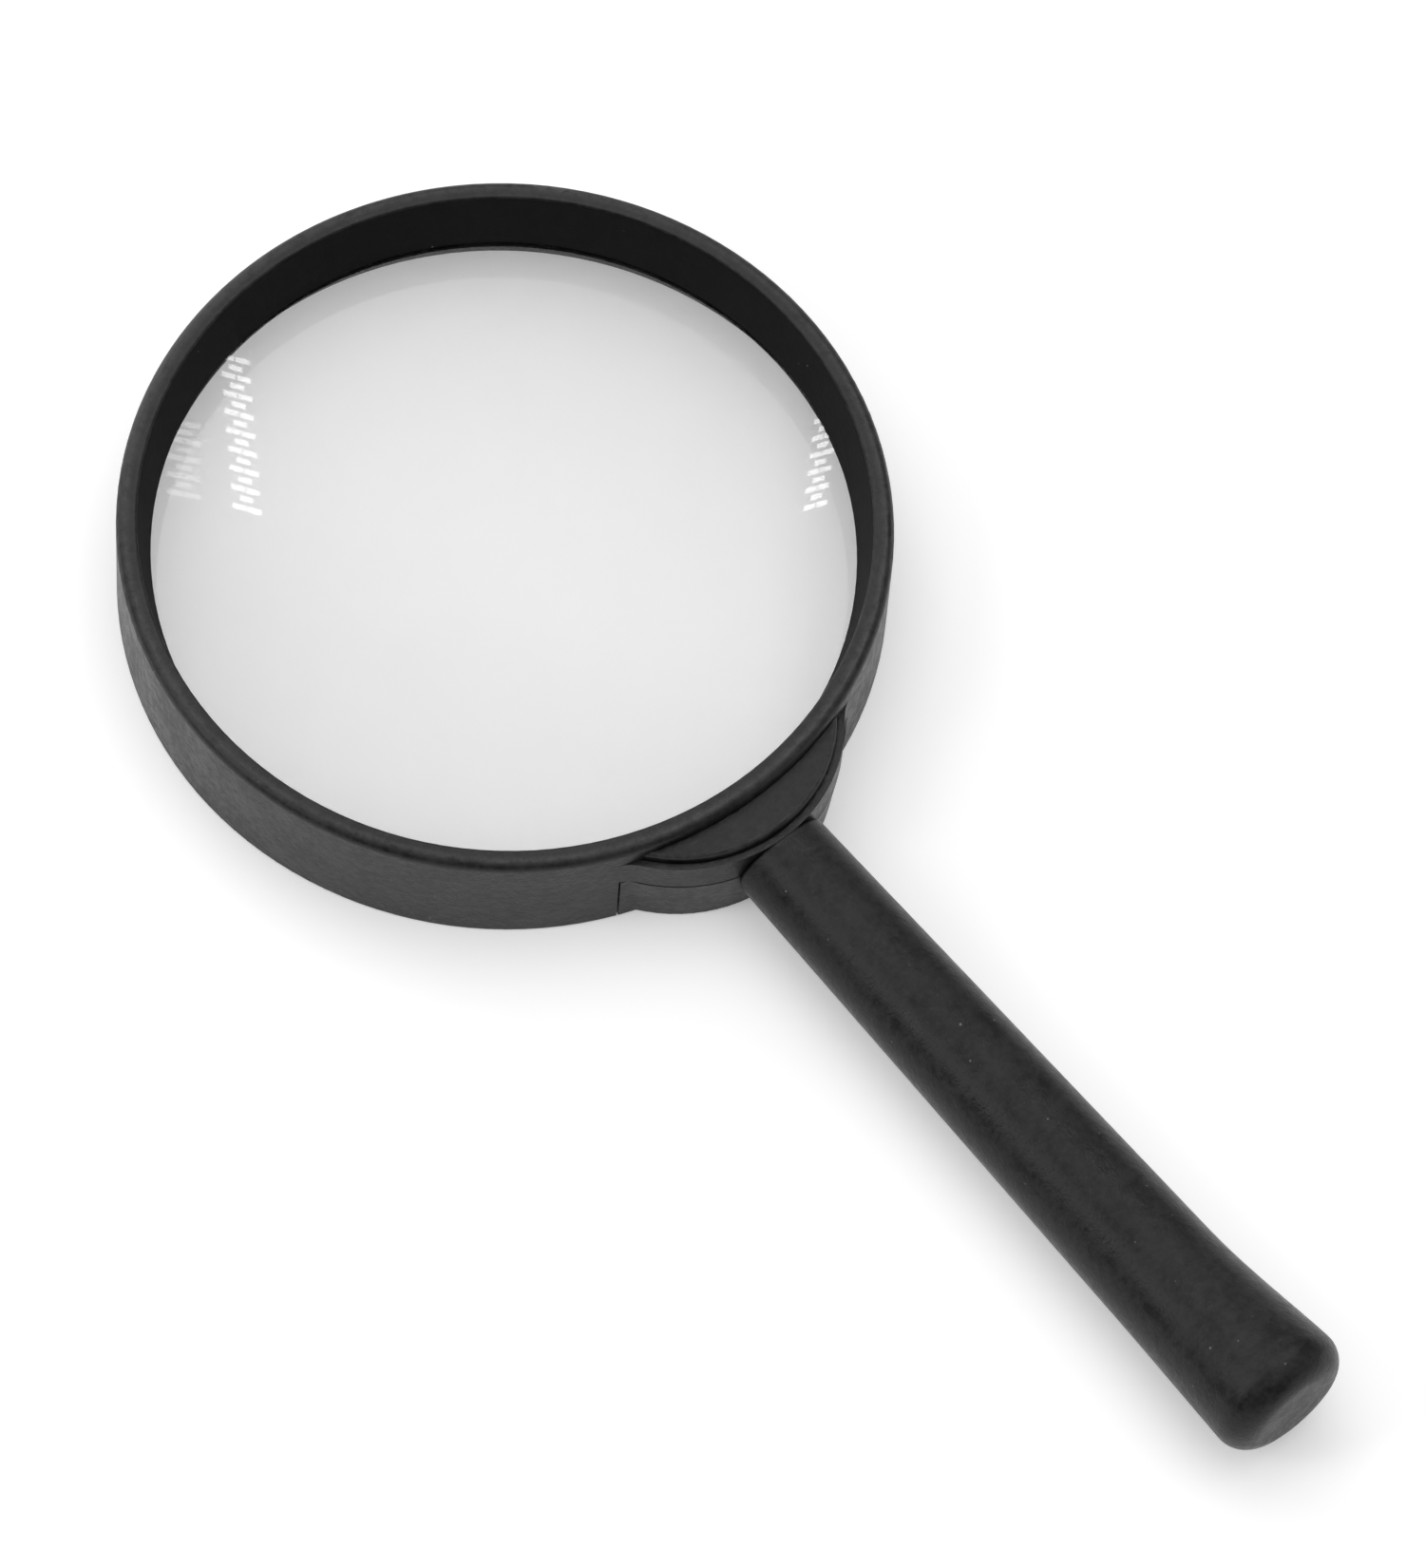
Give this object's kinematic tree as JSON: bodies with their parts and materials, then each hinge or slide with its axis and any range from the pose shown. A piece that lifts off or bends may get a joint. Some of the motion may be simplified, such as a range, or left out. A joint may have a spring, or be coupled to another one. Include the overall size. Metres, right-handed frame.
{
  "type": "magnifying glass",
  "caption": "Round hand-held magnifying glass with a deep black plastic ring, a clear biconvex lens and a straight tapered handle with a flared end.",
  "frame": {"origin": "on the lens axis, in the plane of the rear rim that the glass rests on", "axes": "+Z along the lens axis, from the rear rim to the mouth of the hood; -Y along the handle; X across"},
  "size_m": [0.095, 0.1954, 0.0193],
  "materials": {
    "frame_plastic": "satin moulded black ABS",
    "rear_plastic": "satin moulded black ABS",
    "lens_glass": "clear polished optical glass",
    "handle_plastic": "satin moulded black ABS",
    "cover_plastic": "satin moulded black ABS",
    "screw_steel": "plated steel"
  },
  "bodies": {
    "root": {"front_frame": "frame_plastic", "rear_frame": "rear_plastic", "lens": "lens_glass", "handle": "handle_plastic", "junction_cover": "cover_plastic", "clamp_screws": "screw_steel"}
  },
  "joints": []
}
